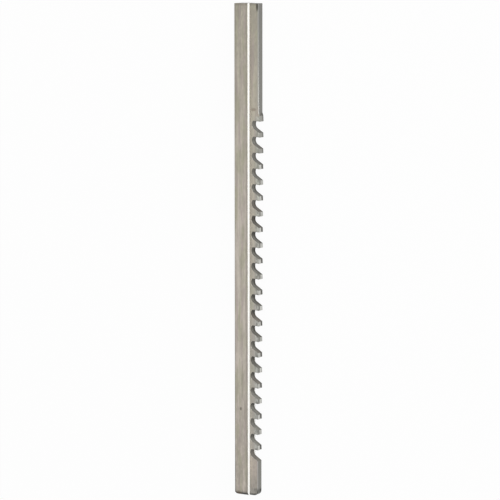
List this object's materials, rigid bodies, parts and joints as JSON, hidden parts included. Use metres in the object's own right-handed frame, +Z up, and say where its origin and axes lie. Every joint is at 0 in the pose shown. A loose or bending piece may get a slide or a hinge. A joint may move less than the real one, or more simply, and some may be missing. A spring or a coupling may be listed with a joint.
{
  "type": "keyway broach",
  "caption": "Straight push broach: a long stepped steel bar with a narrow toothed blade that cuts a keyway, standing on a wider plain body that is guided in a slotted bushing.",
  "frame": {"origin": "middle of the bounding box, on the surface that the bar lies on", "axes": "+X from the pilot end to the shank end, -Y the way the teeth point, +Z up across the width of the body"},
  "size_m": [0.2984, 0.016, 0.0095],
  "materials": {
    "ground_steel": "ground along the length, warm grey"
  },
  "bodies": {
    "root": {"broach": "ground_steel"}
  },
  "joints": []
}
